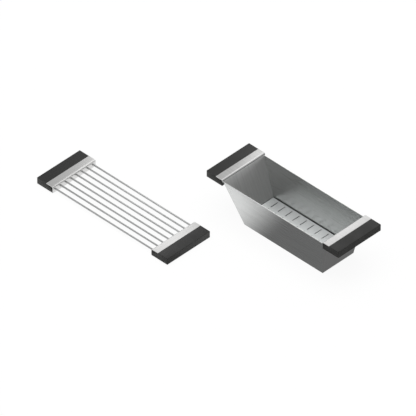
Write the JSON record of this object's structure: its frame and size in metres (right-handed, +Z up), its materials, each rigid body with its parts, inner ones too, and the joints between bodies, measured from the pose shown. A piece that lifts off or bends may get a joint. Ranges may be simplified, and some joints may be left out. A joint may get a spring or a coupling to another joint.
{
  "type": "sink drying rack and colander set",
  "caption": "Steel drying rack with round rods and a tapered steel colander with a slotted strainer tray, both with black end grips that rest on the ledges of a sink.",
  "frame": {"origin": "centre of the footprint that the rack and the colander cover together, as they stand in the picture, at the level that both stand on", "axes": "+X along the rods and the colander, towards its steeper end wall; +Y from the rack to the colander; +Z up"},
  "size_m": [0.809, 0.3684, 0.12],
  "materials": {
    "brushed_steel": "brushed",
    "rod_steel": "satin",
    "grip_plastic": "matte",
    "fastener_zinc": "zinc plated"
  },
  "bodies": {
    "colander": {"colander_trough": "brushed_steel", "colander_front_panel": "brushed_steel", "colander_back_panel": "brushed_steel", "colander_left_grip": "grip_plastic", "colander_right_grip": "grip_plastic", "colander_left_weld_nuts": "fastener_zinc", "colander_right_weld_nuts": "fastener_zinc", "colander_left_screws": "fastener_zinc", "colander_right_screws": "fastener_zinc"},
    "strainer_tray": {"strainer_tray": "brushed_steel"},
    "drying_rack": {"rack_left_channel": "brushed_steel", "rack_right_channel": "brushed_steel", "rack_left_grip": "grip_plastic", "rack_right_grip": "grip_plastic", "rack_rod_1": "rod_steel", "rack_rod_2": "rod_steel", "rack_rod_3": "rod_steel", "rack_rod_4": "rod_steel", "rack_rod_5": "rod_steel", "rack_rod_6": "rod_steel", "rack_rod_7": "rod_steel", "rack_rod_8": "rod_steel", "rack_left_weld_nuts": "fastener_zinc", "rack_right_weld_nuts": "fastener_zinc", "rack_left_screws": "fastener_zinc", "rack_right_screws": "fastener_zinc"}
  },
  "joints": [
    {"name": "tray_lift", "type": "slide", "parent": "colander", "child": "strainer_tray", "axis": [0, 0, 1], "range_m": [0, 0.13]},
    {"name": "rack_lift", "type": "slide", "parent": "colander", "child": "drying_rack", "axis": [0, 0, 1], "range_m": [0, 0.15]}
  ]
}
